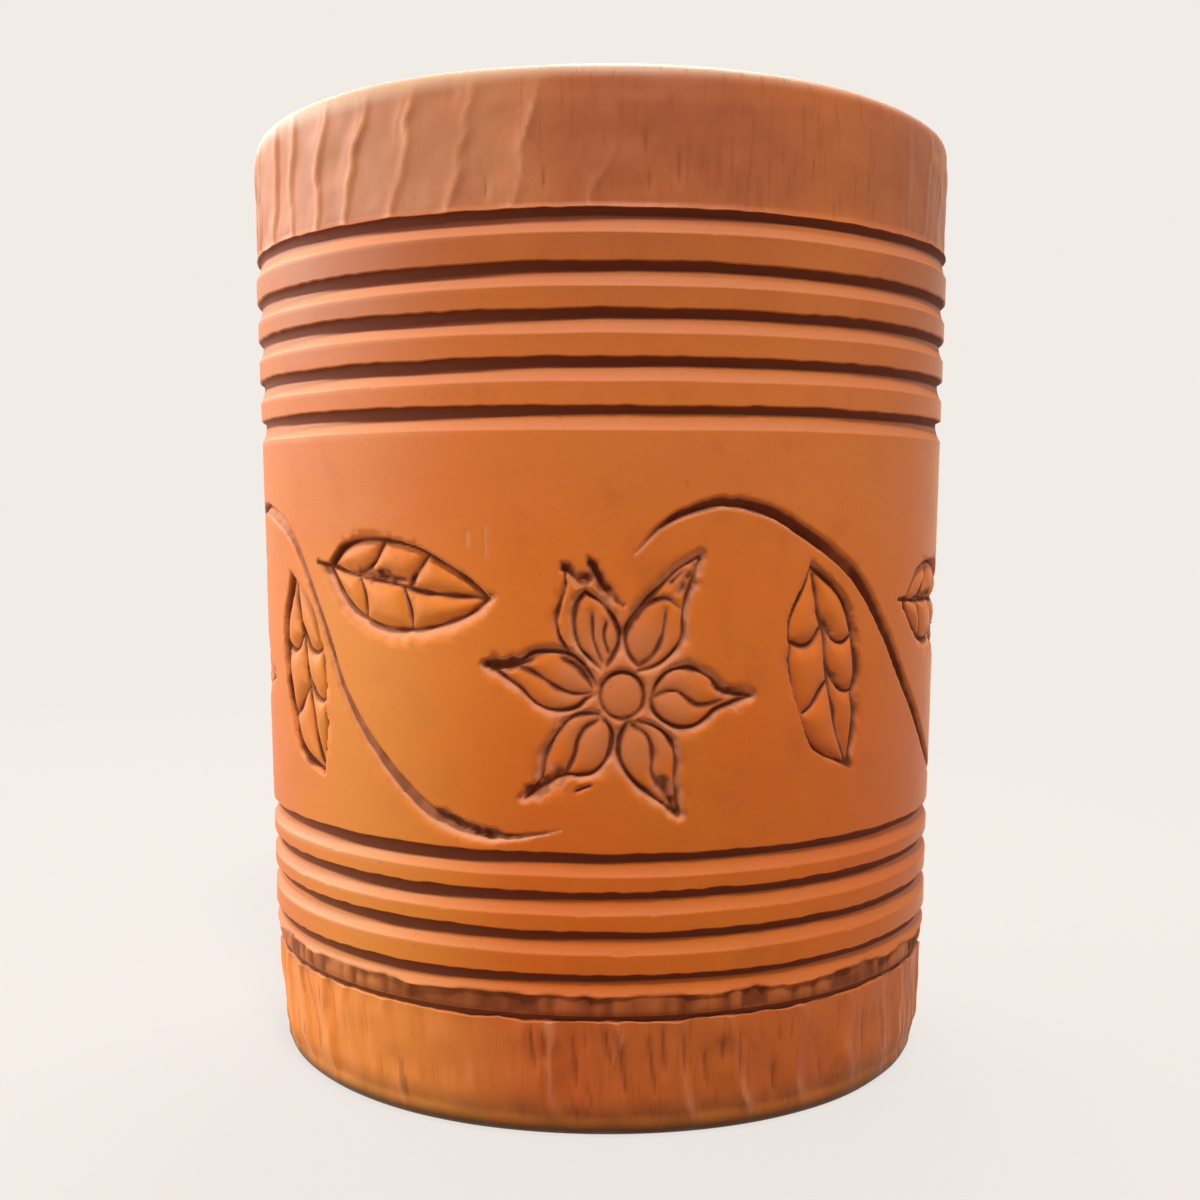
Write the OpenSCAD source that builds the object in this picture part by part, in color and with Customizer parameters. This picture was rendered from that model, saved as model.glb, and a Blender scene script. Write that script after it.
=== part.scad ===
// Straight-sided kulhad: a drinking cup of unglazed fired clay with turned rings and a carved vine.
// Millimetres, +Z up. The origin is the centre of the ring that the cup stands on.
// The viewer who looks along +Y sees the flower that the carving starts from.

/* [Body] */
// Height from the standing ring to the top of the lip
cup_height = 97; // [90:0.5:115]
// Outside diameter at the lip
rim_diameter = 76; // [68:0.5:90]
// Outside diameter at the foot
foot_diameter = 72; // [64:0.5:86]
// Thickness of the wall, measured level
wall_thickness = 5; // [4:0.1:7]
// Radius that rounds the outer and the inner edge of the lip
lip_radius = 2; // [1:0.1:2]
// Radius that rounds the outer edge of the foot
foot_radius = 3; // [0.5:0.1:3.5]

/* [Floor] */
// Thickness of the floor disc
floor_thickness = 6; // [4:0.1:9]
// How far the underside of the disc stays above the standing ring
foot_hollow = 0.8; // [0.3:0.1:2]
// Size of the clay coil pressed into the corner between wall and floor
coil_size = 4; // [2:0.1:7]
// Thickness that the coil keeps at its two feathered edges
coil_edge = 0.5; // [0.3:0.1:1]

/* [Turned rings] */
// Height of the band between the lip and the first ring
rim_band = 12.5; // [9:0.1:14]
// Height of the band above the foot
foot_band = 11.2; // [8:0.1:13]
// Number of rings turned below the rim band
upper_rings = 5; // [2:1:5]
// Distance from one upper ring to the next
upper_pitch = 4.3; // [3.5:0.1:4.8]
// Number of rings turned above the foot band
lower_rings = 4; // [2:1:4]
// Distance from one lower ring to the next
lower_pitch = 3.8; // [3:0.1:4.2]
// Height of one ring's groove
ring_width = 2.25; // [1.5:0.05:2.8]
// Depth of one ring's groove
ring_depth = 0.7; // [0.4:0.05:1.5]
// Height of the undercut ledge above the foot band
ledge_height = 2.3; // [1.5:0.1:3]
// Depth of the undercut ledge
ledge_depth = 0.8; // [0.4:0.05:1.5]

/* [Carved vine] */
// Times that the carving repeats around the cup
vine_repeats = 4; // [3:1:4]
// Width of a stem's steep flank: the lower one of a wide stem, the upper one of a steep stem
steep_flank = 0.4; // [0.3:0.05:0.8]
// Width of a stem's sloping flank, on its other side
sloping_flank = 1; // [0.6:0.05:1.6]
// Depth of the stem's gouge mark at its deepest
stem_depth = 0.9; // [0.4:0.05:1.5]
// Depth of the lines incised in the leaves and the petals
line_depth = 0.65; // [0.4:0.05:1.2]

/* [Leaves] */
// Length of a leaf, without its stalk
leaf_length = 19.2; // [15:0.1:22]
// Width of a leaf
leaf_width = 8.2; // [5:0.1:9]
// Width of the cut round a leaf
leaf_edge = 0.9; // [0.5:0.05:1.2]
// Width of a leaf's midrib and veins
vein_width = 0.5; // [0.35:0.05:0.8]
// Length of the stalk that the midrib runs on into
stalk_length = 1.8; // [0:0.1:3]
// Angle from the midrib to the veins on its left side
left_vein_turn = 50; // [35:1:85]
// Angle from the midrib to the veins on its right side
right_vein_turn = 78; // [35:1:85]

/* [Flowers] */
// Diameter of a flower over its petal tips
flower_diameter = 26; // [20:0.1:28]
// Diameter of the button at a flower's centre
button_diameter = 4; // [2.5:0.1:5]
// Width of one petal
petal_width = 5.2; // [3.5:0.1:5.8]
// Width of the line round a petal and of its middle line
petal_line = 0.5; // [0.35:0.05:0.8]
// Length of the wedge that is dug out at a petal's tip
petal_tip = 2.6; // [1:0.1:4]

/* [Hidden] */
clay = "#B5652F";
raw_clay = "#A65A2B";
slip_clay = "#9C5226";

// Steps in each quarter arc of the profile, in each span of the stem, and round a full circle
arc_steps = 8;
stem_steps = 3;
$fn = 96;

// How far every cutter runs past the surface that it cuts
overrun = 1;

rim_r = rim_diameter / 2;
foot_r = foot_diameter / 2;
floor_low = foot_hollow;
floor_high = foot_hollow + floor_thickness;
ledge_high = foot_band + ledge_height;
band_low = ledge_high + ring_width + (lower_rings - 1) * lower_pitch;
band_high = cup_height - rim_band - ring_width - (upper_rings - 1) * upper_pitch;
band_height = band_high - band_low;
repeat_angle = 360 / vine_repeats;
lip = min(lip_radius, wall_thickness / 2);

// A ring's groove from its lower edge to its upper one: shares of its height and of its depth
ring_shares = [
    [0, 0], [0.12, 0.31], [0.34, 0.69], [0.58, 0.93],
    [0.74, 1], [0.86, 0.93], [0.95, 0.5], [1, 0]
];
// The ledge from the foot band's shoulder upwards: shares of its height and of its depth
ledge_shares = [[0, 0], [0.05, 0.8], [0.12, 1], [0.3, 0.75], [0.6, 0.42], [0.9, 0.25], [1, 0]];

// The two stems that take turns round the cup: shares of one repeat's angle and of the carved band's height
wide_stem_shares = [
    [0.057, 0.715], [0.1, 0.775], [0.145, 0.81], [0.2, 0.825], [0.275, 0.805], [0.355, 0.74], [0.445, 0.655],
    [0.53, 0.52], [0.6, 0.38], [0.685, 0.255], [0.755, 0.16], [0.835, 0.085], [0.89, 0.06], [0.945, 0.055]
];
steep_stem_shares = [
    [0.057, 0.715], [0.105, 0.785], [0.16, 0.82], [0.22, 0.825], [0.3, 0.805], [0.365, 0.765], [0.42, 0.675],
    [0.49, 0.52], [0.545, 0.35], [0.63, 0.195], [0.725, 0.08], [0.81, 0.04], [0.88, 0.04], [0.94, 0.055]
];
// Share of the full gouge at each point of a stem
gouge_shares = [0.25, 0.6, 0.85, 1, 1, 1, 1, 1, 1, 0.95, 0.85, 0.75, 0.55, 0.25];

// Middle of the flower and of the two leaves beside each stem, given as the stem is, and how they lie
flower_shares = [0.036, 0.379];
wide_hanging_shares = [0.398, 0.418];
wide_lying_shares = [0.779, 0.575];
steep_hanging_shares = [0.41, 0.379];
steep_lying_shares = [0.662, 0.636];
hanging_turn = -73;
wide_lying_turn = 0.5;
steep_lying_turn = -7;

// Where the veins leave a leaf's midrib, as shares of its length from the stalk
vein_shares = [0.25, 0.56];
// Each petal's direction as a share of a full turn, and its length as a share of the flower's radius
petal_shares = [[-0.005, 0.94], [0.166, 1.09], [0.3, 0.97], [0.464, 0.99], [0.627, 1.01], [0.82, 0.93]];

// Radius of the outside, and of the inside, at a height
function outside(z) = foot_r + (rim_r - foot_r) * z / cup_height;
function inside(z) = outside(z) - wall_thickness;

// Points of an arc about a centre, from one angle to another
function arc(centre, r, from, to) = [
    for (i = [0:arc_steps])
        let (a = from + (to - from) * i / arc_steps)
            centre + r * [cos(a), sin(a)]
];

// Points of a cut turned into the outside, between two heights, from its table of shares
function turned_cut(low, height, depth, shares) = [
    for (s = shares)
        let (z = low + s[0] * height)
            [outside(z) - s[1] * depth, z]
];

function ring_cut(low) = turned_cut(low, ring_width, ring_depth, ring_shares);

// A point on, or a distance off, the outside, at an angle from the front and a height
function on_cup(angle, z, off) =
    let (r = outside(z) + off)
        [r * sin(angle), -r * cos(angle), z];

// A smooth curve through the points of a list, at a place counted in points from its start
function spline(list, place) =
    let (
        last = len(list) - 1,
        i = min(floor(place), last - 1),
        t = place - i,
        before = list[max(i - 1, 0)],
        start = list[i],
        end = list[i + 1],
        after = list[min(i + 2, last)]
    )
        (2 * start + (end - before) * t
            + (2 * before - 5 * start + 4 * end - after) * pow(t, 2)
            + (3 * start - before - 3 * end + after) * pow(t, 3)) / 2;

// Section of the tube that is left standing when the cup is turned
module wall_profile() {
    corner = [outside(foot_radius) - foot_radius, foot_radius];
    outer_lip = [outside(cup_height - lip) - lip, cup_height - lip];
    inner_lip = [inside(cup_height - lip) + lip, cup_height - lip];
    lower = [for (k = [0:lower_rings - 1]) each ring_cut(ledge_high + k * lower_pitch)];
    upper = [for (k = [0:upper_rings - 1]) each ring_cut(band_high + k * upper_pitch)];
    polygon(concat(
        [[inside(0), 0]],
        arc(corner, foot_radius, -90, 0),
        turned_cut(foot_band, ledge_height, ledge_depth, ledge_shares),
        lower,
        upper,
        arc(outer_lip, lip, 0, 90),
        arc(inner_lip, lip, 90, 180)
    ));
}

// A point of the carved band, from its shares
function on_band(share) = [share[0] * repeat_angle, band_low + share[1] * band_height];

// One stem: a gouge mark with two flanks, which follows the outside and fades at both ends
module stem(line, upper_flank, lower_flank) {
    rings = (len(line) - 1) * stem_steps;
    across = outside(band_low) * PI / 180;
    function place(i) = on_band(spline(line, i / stem_steps));
    function section(i) =
        let (
            here = place(i),
            step = place(min(i + 1, rings)) - place(max(i - 1, 0)),
            run = [step[0] * across, step[1]] / norm([step[0] * across, step[1]]),
            depth = spline(gouge_shares, i / stem_steps) * stem_depth,
            side = [-run[1] / across, run[0]] * (depth + overrun) / stem_depth,
            upper = here + upper_flank * side,
            lower = here - lower_flank * side
        )
            [
                on_cup(upper[0], upper[1], overrun),
                on_cup(here[0], here[1], -depth),
                on_cup(lower[0], lower[1], overrun)
            ];
    points = [for (i = [0:rings]) each section(i)];
    sides = [
        for (i = [0:rings - 1], j = [0:2])
            let (a = 3 * i + j, b = 3 * i + (j + 1) % 3)
                each [[a, b, b + 3], [a, b + 3, a + 3]]
    ];
    polyhedron(points, concat(sides, [[2, 1, 0], [3 * rings, 3 * rings + 1, 3 * rings + 2]]));
}

// The outline between two equal arcs, such as a leaf has, or one that runs inside it by the inset
module lens(length, width, inset = 0) {
    r = (pow(length, 2) + pow(width, 2)) / (4 * width);
    intersection() {
        translate([0, r - width / 2]) circle(r - inset);
        translate([0, width / 2 - r]) circle(r - inset);
    }
}

// What the knife takes out of a leaf that points along +X: the cut round it, its midrib and its veins
module leaf_lines() {
    difference() {
        lens(leaf_length, leaf_width);
        lens(leaf_length, leaf_width, leaf_edge);
    }
    translate([-leaf_length / 2 - stalk_length, -vein_width / 2])
        square([leaf_length + stalk_length - leaf_edge, vein_width]);
    intersection() {
        lens(leaf_length, leaf_width, leaf_edge / 2);
        for (share = vein_shares, turn = [left_vein_turn, -right_vein_turn])
            translate([(share - 1 / 2) * leaf_length, 0])
                rotate(turn)
                    translate([0, -vein_width / 2])
                        square([leaf_width, vein_width]);
    }
}

// What the knife takes out of a petal that points along +X: the line round it, its middle line and its tip
module petal_lines(reach) {
    start = (button_diameter + petal_line) / 2;
    length = reach - start;
    translate([start + length / 2, 0]) {
        difference() {
            lens(length, petal_width);
            lens(length, petal_width, petal_line);
        }
        translate([petal_line - length / 2, -petal_line / 2]) square([length - petal_tip, petal_line]);
        intersection() {
            lens(length, petal_width);
            translate([length / 2 - petal_tip, -petal_width / 2]) square([petal_tip, petal_width]);
        }
    }
}

// What the knife takes out of a flower
module flower_lines() {
    difference() {
        circle(d = button_diameter + 2 * petal_line);
        circle(d = button_diameter);
    }
    for (petal = petal_shares)
        rotate(petal[0] * 360) petal_lines(petal[1] * flower_diameter / 2);
}

// Stands a flat motif on the outside, square to it, at a place of the carved band
module stamp(share, turn) {
    place = on_band(share);
    rotate([0, 0, place[0]])
        translate([0, 0, place[1]])
            rotate([90, 0, 0])
                translate([0, 0, inside(place[1])])
                    linear_extrude(wall_thickness + overrun)
                        rotate(turn) children();
}

// One repeat of the flower and the two leaves
module motifs(hanging, lying, lying_turn) {
    stamp(flower_shares, 0) flower_lines();
    stamp(hanging, hanging_turn) leaf_lines();
    stamp(lying, lying_turn) leaf_lines();
}

// All that the knife takes out of one repeat
module carving(wide) {
    intersection() {
        band_skin();
        if (wide) motifs(wide_hanging_shares, wide_lying_shares, wide_lying_turn);
        else motifs(steep_hanging_shares, steep_lying_shares, steep_lying_turn);
    }
    if (wide) stem(wide_stem_shares, sloping_flank, steep_flank);
    else stem(steep_stem_shares, steep_flank, sloping_flank);
}

// The skin of the carved band, as deep as the incised lines
module band_skin() {
    rotate_extrude()
        polygon([
            [outside(band_low) - line_depth, band_low],
            [outside(band_low) + 2 * overrun, band_low],
            [outside(band_high) + 2 * overrun, band_high],
            [outside(band_high) - line_depth, band_high]
        ]);
}

module wall() {
    color(clay)
        difference() {
            rotate_extrude() wall_profile();
            for (k = [0:vine_repeats - 1])
                rotate([0, 0, k * repeat_angle]) carving(k % 2 == 0);
        }
}

module floor_disc() {
    color(raw_clay)
        rotate_extrude()
            polygon([
                [0, floor_low], [inside(floor_low), floor_low],
                [inside(floor_high), floor_high], [0, floor_high]
            ]);
}

module seam_coil() {
    high = floor_high + coil_size;
    hollow = coil_size - coil_edge;
    color(slip_clay)
        rotate_extrude()
            polygon(concat(
                [[inside(floor_high), floor_high], [inside(high), high]],
                arc([inside(high) - coil_size, high], hollow, 0, -90),
                [[inside(floor_high) - coil_size, floor_high]]
            ));
}

wall();
floor_disc();
seam_coil();
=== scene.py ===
# %% [markdown]
# # A carved clay kulhad
# A kulhad is a drinking cup of unglazed fired clay. This one is straight-sided and flares a
# little. Its potter turned rings into it, pared the lip and the foot with a knife and carved a
# vine between the rings. The lesson dresses a measured model of the cup: the sizes come from
# that model, and everything that the hand left on the clay is added here.

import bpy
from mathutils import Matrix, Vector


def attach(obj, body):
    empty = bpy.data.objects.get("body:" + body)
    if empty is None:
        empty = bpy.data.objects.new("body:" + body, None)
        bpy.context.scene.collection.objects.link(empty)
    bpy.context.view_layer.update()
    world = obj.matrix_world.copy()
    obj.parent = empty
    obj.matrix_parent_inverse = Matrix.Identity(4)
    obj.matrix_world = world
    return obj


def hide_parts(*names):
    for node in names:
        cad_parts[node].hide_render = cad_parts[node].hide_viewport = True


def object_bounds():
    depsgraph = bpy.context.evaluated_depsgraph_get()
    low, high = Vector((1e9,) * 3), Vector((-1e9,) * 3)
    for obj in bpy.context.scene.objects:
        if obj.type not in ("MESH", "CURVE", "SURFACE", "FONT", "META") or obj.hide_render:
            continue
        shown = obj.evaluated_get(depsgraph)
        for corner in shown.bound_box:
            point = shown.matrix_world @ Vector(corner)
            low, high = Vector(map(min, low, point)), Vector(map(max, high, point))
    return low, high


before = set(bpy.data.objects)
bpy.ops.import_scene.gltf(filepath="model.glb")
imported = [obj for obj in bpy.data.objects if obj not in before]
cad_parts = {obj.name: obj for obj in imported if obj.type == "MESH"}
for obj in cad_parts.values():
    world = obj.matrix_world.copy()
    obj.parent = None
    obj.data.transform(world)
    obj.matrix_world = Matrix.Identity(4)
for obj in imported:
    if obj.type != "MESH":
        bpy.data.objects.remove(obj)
cad_low, cad_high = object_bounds()
print("clay members:", sorted(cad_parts))

# %% [markdown]
# ## Sizes
# A potter thinks in millimetres and Blender in metres, so sizes stay in millimetres here and
# are turned to metres where a mesh is made. The height comes from the measured model. The
# heights of the rings are those of the real cup, where no two rings are quite alike.

# %% Sizes in millimetres
import math

import bmesh
import bpy
import numpy as np
from mathutils import Matrix, Vector

MM = 0.001
HEIGHT = cad_high.z / MM
RIM_RADIUS = 38.0
FOOT_RADIUS = 36.0
MID_RADIUS = (RIM_RADIUS + FOOT_RADIUS) / 2
WALL = 5.0
LIP_REACH = 2.0
LIP_ROUND = 3.5
LIP_INNER = 1.8
FOOT_REACH = 3.1
FOOT_ROUND = 4.4
RIM_BAND_LOW = 84.5
FOOT_BAND_HIGH = 11.2
RING_HEIGHT = 2.25
RING_DEPTH = 0.7
LEDGE_DEPTH = 0.8
RING_ROOT_SHARE = 0.74
UPPER_ROOTS = (66.8, 71, 75.3, 79.3, 83.9)
LOWER_ROOTS = (15.2, 19.4, 23, 26.5)
RING_LOWS = [root - RING_ROOT_SHARE * RING_HEIGHT for root in LOWER_ROOTS + UPPER_ROOTS]
LEDGE_HIGH = RING_LOWS[0]


def outside(z):
    """Radius of the plain outside at a height."""
    return FOOT_RADIUS + (RIM_RADIUS - FOOT_RADIUS) * z / HEIGHT


def inside(z):
    """Radius of the drinking space at a height."""
    return outside(z) - WALL


print(f"height {HEIGHT:.1f} mm, lip {2 * RIM_RADIUS:.0f} mm and foot {2 * FOOT_RADIUS:.0f} mm across")

# %% [markdown]
# ## Camera
# The photograph was taken from close by, a little above the middle of the cup, so the lip and
# the foot curve opposite ways. A camera fitted to those two curves gives the distance, the
# height, the downward tilt and a slight turn to the left. Only a near camera bends the rings
# like this: a far one with a long lens would draw them flat.

# %% Camera
CAMERA_PLACE = (0, -171.6, 58.6)
CAMERA_DOWN = 3.62
CAMERA_LEFT = 1.13
CAMERA_SHIFT = 0.0254
SENSOR_WIDTH = 36.0
FOCAL_LENGTH = 45.52
# Anything nearer than this in metres isn't drawn
NEAREST = 0.01


def new_object(name, data):
    """An object that shows the data, linked to the scene."""
    item = bpy.data.objects.new(name, data)
    bpy.context.scene.collection.objects.link(item)
    return item


camera_data = bpy.data.cameras.new("camera")
camera_data.sensor_width = SENSOR_WIDTH
camera_data.lens = FOCAL_LENGTH
camera_data.shift_x = CAMERA_SHIFT
camera_data.clip_start = NEAREST
camera = new_object("camera", camera_data)
turn = Matrix.Rotation(math.radians(CAMERA_LEFT), 4, "Z")
tilt = Matrix.Rotation(math.radians(90 - CAMERA_DOWN), 4, "X")
camera.matrix_world = Matrix.Translation(Vector(CAMERA_PLACE) * MM) @ turn @ tilt
bpy.context.scene.camera = camera
bpy.context.scene.view_settings.view_transform = "Standard"
print("camera at", CAMERA_PLACE, "mm")

# %% [markdown]
# ## The hand of the potter
# Everything hand-made wavers. A ripple is a table of random numbers laid round the cup and
# read smoothly between them, and it closes on itself, so no seam shows. The same ripple can be
# long and flat, like the wobble of a ring, or narrow and tall, like the drag of a knife.

# %% Ripples that close round the cup
# A swell taller than the cup hardly changes with the height
TALL = 200


def ease(t):
    """A smooth step from 0 to 1."""
    t = np.clip(t, 0, 1)
    return t * t * (3 - 2 * t)


def ripple(angle, z, wide, tall, seed):
    """Smooth random values from -1 to 1; wide and tall are the size of one swell in mm."""
    columns = max(3, round(math.tau * MID_RADIUS / wide))
    rows = math.ceil(HEIGHT / tall) + 3
    table = np.random.default_rng(seed).uniform(-1, 1, (columns, rows))
    x = np.mod(angle / math.tau, 1) * columns
    y = np.clip(z / tall + 1, 0, rows - 1.001)
    i, j = x.astype(int) % columns, y.astype(int)
    u, v = ease(x - np.floor(x)), ease(y - np.floor(y))
    near = table[i, j] * (1 - v) + table[i, j + 1] * v
    far = table[(i + 1) % columns, j] * (1 - v) + table[(i + 1) % columns, j + 1] * v
    return near * (1 - u) + far * u


def bell(x, width):
    """1 at nought, falling softly to 0 on both sides."""
    return np.exp(-((x / width) ** 2))


def window(z, low, high, fade):
    """1 between two heights, falling to 0 over the fade on each side."""
    return ease((z - low) / fade + 1) * ease((high - z) / fade + 1)


print("ripple at the front:", float(ripple(np.zeros(1), np.full(1, 50.0), 20, 20, 1)[0]))

# %% [markdown]
# ## The turned body
# On the wheel the potter held a tool against the turning clay, so the body is a profile spun
# round an axis. It is spun in three sections that meet at the bottom of a ring, where no eye
# reaches: the rim, the carved band and the foot. Each gets its own fineness, because the pared
# bands need narrow columns and the carved band needs most of its faces near the knife marks.

# %% Profiles of the three sections
RING_CUT = [
    (0, 0), (0.05, 0.14), (0.12, 0.31), (0.22, 0.51), (0.34, 0.69), (0.46, 0.83), (0.58, 0.93),
    (0.68, 0.99), (0.74, 1), (0.8, 0.99), (0.86, 0.93), (0.91, 0.78), (0.95, 0.5), (0.98, 0.2), (1, 0),
]
LEDGE_CUT = [
    (0, 0), (0.03, 0.4), (0.07, 0.85), (0.12, 1), (0.22, 0.97), (0.3, 0.75), (0.38, 0.6),
    (0.5, 0.48), (0.6, 0.42), (0.7, 0.37), (0.8, 0.32), (0.87, 0.27), (0.93, 0.12),
]
# Distance from an edge to the point that keeps it crisp
EDGE_KEEP = 0.08
# The foot's profile starts and ends on its flat standing ring, this far from the inside
FLAT_START = 1.2
# Largest step between two rows of points on each section's outside, and on the inside
FOOT_ROW, BAND_ROW, RIM_ROW, INNER_ROW = 0.55, 0.72, 0.54, 2.5
# The rings whose roots are the seams, and the plain band between them
LAST_LOWER = len(LOWER_ROOTS) - 1
FIRST_UPPER = len(LOWER_ROOTS)
LOW_SEAM = LOWER_ROOTS[-1]
HIGH_SEAM = UPPER_ROOTS[0]
BAND_LOW = RING_LOWS[LAST_LOWER] + RING_HEIGHT
BAND_HIGH = RING_LOWS[FIRST_UPPER]


def cut_points(low, height, depth, cut, first=0.0, last=1.0):
    """Points of a turned cut, from its low edge up."""
    inner = [(a, b) for a, b in cut if first <= a <= last]
    return [(outside(low + a * height) - b * depth, low + a * height) for a, b in inner]


def ring_points(low, first=0.0, last=1.0):
    """A ring's groove, with a point close outside each edge that keeps the edge crisp."""
    below, above = low - EDGE_KEEP, low + RING_HEIGHT + EDGE_KEEP
    points = cut_points(low, RING_HEIGHT, RING_DEPTH, RING_CUT, first, last)
    if first == 0.0:
        points = [(outside(below), below)] + points
    if last == 1.0:
        points = points + [(outside(above), above)]
    return points


def arc_points(centre, across, high, start, end, steps):
    """Points on a rounded corner of the profile, between two angles in degrees."""
    turns = np.radians(np.linspace(start, end, steps + 1))
    return [(centre[0] + across * math.cos(t), centre[1] + high * math.sin(t)) for t in turns]


def with_rows(points, spacing):
    """Adds points to a profile, so that no two lie further apart than the spacing."""
    rows = [points[0]]
    for start, end in zip(points, points[1:]):
        count = max(1, math.ceil(math.dist(start, end) / spacing))
        for k in range(1, count + 1):
            rows.append(tuple(a + (b - a) * (k / count) for a, b in zip(start, end)))
    return rows


def foot_profile():
    """From the standing ring up to the root of the last lower ring, and back inside."""
    first = (inside(0) + FLAT_START, 0)
    corner = (outside(FOOT_ROUND) - FOOT_REACH, FOOT_ROUND)
    edge = FOOT_BAND_HIGH - EDGE_KEEP
    outer = [first] + arc_points(corner, FOOT_REACH, FOOT_ROUND, -90, 0, 10) + [(outside(edge), edge)]
    outer += cut_points(FOOT_BAND_HIGH, LEDGE_HIGH - FOOT_BAND_HIGH, LEDGE_DEPTH, LEDGE_CUT)
    outer += ring_points(LEDGE_HIGH)[1:]
    for low in RING_LOWS[1:LAST_LOWER]:
        outer += ring_points(low)
    outer += ring_points(RING_LOWS[LAST_LOWER], last=RING_ROOT_SHARE)
    inner = [(inside(LOW_SEAM), LOW_SEAM), (inside(0), 0), first]
    return with_rows(outer, FOOT_ROW) + with_rows(inner, INNER_ROW)[:-1]


def carved_profile():
    """The plain band between two roots, and the inside behind it."""
    outer = ring_points(RING_LOWS[LAST_LOWER], first=RING_ROOT_SHARE)
    outer += ring_points(RING_LOWS[FIRST_UPPER], last=RING_ROOT_SHARE)
    inner = [(inside(HIGH_SEAM), HIGH_SEAM), (inside(LOW_SEAM), LOW_SEAM)]
    return with_rows(outer, BAND_ROW) + with_rows(inner, INNER_ROW)


def rim_profile():
    """From the root of the first upper ring over the lip, and back inside."""
    outer = ring_points(RING_LOWS[FIRST_UPPER], first=RING_ROOT_SHARE)
    for low in RING_LOWS[FIRST_UPPER + 1:]:
        outer += ring_points(low)
    top = HEIGHT - LIP_ROUND
    crown = arc_points((outside(top) - LIP_REACH, top), LIP_REACH, LIP_ROUND, 0, 90, 12)
    top = HEIGHT - LIP_INNER
    crown += arc_points((inside(top) + LIP_INNER, top), LIP_INNER, LIP_INNER, 90, 180, 8)
    inner = [crown[-1], (inside(HIGH_SEAM), HIGH_SEAM)]
    return with_rows(outer + [crown[0]], RIM_ROW) + crown[1:-1] + with_rows(inner, INNER_ROW)


print("profile points:", len(foot_profile()), len(carved_profile()), len(rim_profile()))

# %% Spin a profile into a closed section
DOUBLINGS = 4


def spin_section(profile, columns):
    """Spins a sixteenth of a closed profile of (radius, height), then copies it round the axis."""
    bm = bmesh.new()
    points = [bm.verts.new((0, -r * MM, z * MM)) for r, z in profile]
    lines = [bm.edges.new((points[k - 1], points[k])) for k in range(len(points))]
    turn = math.tau / 2**DOUBLINGS
    bmesh.ops.spin(
        bm, geom=points + lines, cent=(0, 0, 0), axis=(0, 0, 1), dvec=(0, 0, 0),
        angle=turn, steps=columns // 2**DOUBLINGS, use_merge=False, use_duplicate=False,
    )
    for _ in range(DOUBLINGS):
        copy = bmesh.ops.duplicate(bm, geom=bm.verts[:] + bm.edges[:] + bm.faces[:])["geom"]
        moved = [item for item in copy if isinstance(item, bmesh.types.BMVert)]
        bmesh.ops.rotate(bm, verts=moved, cent=(0, 0, 0), matrix=Matrix.Rotation(turn, 3, "Z"))
        turn *= 2
    bmesh.ops.remove_doubles(bm, verts=bm.verts[:], dist=0.002 * MM)
    bmesh.ops.recalc_face_normals(bm, faces=bm.faces[:])
    return bm


# %% [markdown]
# ## The vine
# The carver drew each motif with a few strokes of a knife. A stroke here is a handful of points
# in the motif's own frame, in tenths of a millimetre: x runs round the cup to the right and y up.
# A curve is drawn smoothly through them. Each stroke has a width, a depth and a lean, because a
# tilted blade leaves one steep flank and one sloping flank that catches the light.

# %% Strokes
# Width of one flank of a fine line
FLANK = 0.28
strokes, cushions, stems, worn_places = [], [], [], []


def on_wall(places):
    """Angles in degrees and heights, turned to distances round the cup and heights in mm."""
    return [(math.radians(angle) * MID_RADIUS, z) for angle, z in places]


def curve_through(points, step=0.35):
    """A smooth curve through given points, as points about a step apart."""
    p = np.array(points, float)
    p = np.vstack([2 * p[0] - p[1], p, 2 * p[-1] - p[-2]])
    out = []
    for a, b, c, d in zip(p, p[1:], p[2:], p[3:]):
        count = max(2, math.ceil(np.linalg.norm(c - b) / step))
        t = np.arange(count)[:, None] / count
        cubic = -a + 3 * b - 3 * c + d
        out.append((2 * b + (c - a) * t + (2 * a - 5 * b + 4 * c - d) * t**2 + cubic * t**3) / 2)
    return np.vstack(out + [p[-2:-1]])


def taper(count, start, middle, end):
    """Shares of a stroke's full size along it: how it enters, runs and leaves the clay."""
    return np.interp(np.linspace(0, 1, count), [0, 0.2, 0.75, 1], [start, middle, middle, end])


def add_stroke(line, left, right, depth, shares, ragged, fill=(0, 0), pale=(0, 0)):
    """left and right are the flanks' widths in mm, fill how much painted shade darkens each and pale how
    much each is painted pale, as wear and as highlight.
    """
    strokes.append({
        "line": line, "left": left, "right": right, "depth": depth, "shares": shares,
        "fill": fill, "pale": pale, "ragged": ragged,
    })


class Motif:
    """A place on the cup that a motif is drawn at, and how it is turned and sized there.

    Its points are in tenths of a millimetre.
    """

    def __init__(self, angle, z, turn=0.0, size=1.0):
        self.centre = np.array(on_wall([(angle, z)])[0])
        c, s = math.cos(math.radians(turn)), math.sin(math.radians(turn))
        self.matrix = np.array([[c, s], [-s, c]]) * size

    def line(self, points, left=FLANK, right=FLANK, depth=0.5, ends=(0.5, 1, 0.5), ragged=0.25, **marks):
        """A drawn line; the ends are its shares of full size at the start, along it and at the end."""
        smooth = curve_through(np.array(points) / 10) @ self.matrix + self.centre
        add_stroke(smooth, left, right, depth, taper(len(smooth), *ends), ragged, **marks)
        return smooth

    def gouge(self, points, width, depth, ends=(0.3, 1, 0.3)):
        """A wedge of clay torn out with the blade, its flanks painted dark as shade."""
        self.line(points, width / 2, width / 2, depth, ends, 0.6, fill=(0.7, 0.55))

    def cushion(self, outline, rise):
        cushions.append({"outline": outline, "rise": rise, "first": self.first, "last": len(strokes)})

    def begin(self):
        self.first = len(strokes)
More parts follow.
